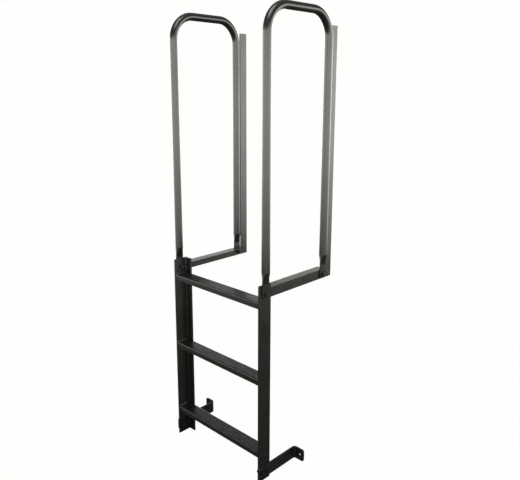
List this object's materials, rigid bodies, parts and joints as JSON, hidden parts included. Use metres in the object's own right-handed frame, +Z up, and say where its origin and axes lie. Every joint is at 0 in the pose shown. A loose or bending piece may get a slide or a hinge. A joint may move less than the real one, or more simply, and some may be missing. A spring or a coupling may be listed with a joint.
{
  "type": "walk-through access ladder",
  "caption": "Fixed tailgate or deck access ladder: box rungs between angle stiles, tall bent-tube handrail loops, deck-level side rails and stand-off arms.",
  "frame": {"origin": "bottom centre of the ladder's bounding box: on the centre plane, midway front to back, at the cut ends of the stiles", "axes": "+X to the climber's right across the rungs, +Y from the climber towards the deck, +Z up along the stiles"},
  "size_m": [0.6, 0.4242, 1.7979],
  "materials": {
    "powder_coat": "gloss black powder coat on steel",
    "black_hardware": "black oxide",
    "painted_weld": "gloss black powder coat over weld beads"
  },
  "bodies": {
    "root": {"left_stile": "powder_coat", "right_stile": "powder_coat", "top_rung": "powder_coat", "middle_rung": "powder_coat", "bottom_rung": "powder_coat", "left_handrail": "powder_coat", "right_handrail": "powder_coat", "left_handrail_lugs": "powder_coat", "right_handrail_lugs": "powder_coat", "left_deck_rail": "powder_coat", "right_deck_rail": "powder_coat", "left_rear_post": "powder_coat", "right_rear_post": "powder_coat", "left_standoff_arm": "powder_coat", "right_standoff_arm": "powder_coat", "handrail_bolts": "black_hardware", "handrail_washers": "black_hardware", "handrail_nuts": "black_hardware", "arm_bolts": "black_hardware", "arm_washers": "black_hardware", "arm_nuts": "black_hardware", "rung_welds": "painted_weld", "deck_rail_welds": "painted_weld", "mitre_welds": "painted_weld", "post_stitch_welds": "painted_weld"}
  },
  "joints": []
}
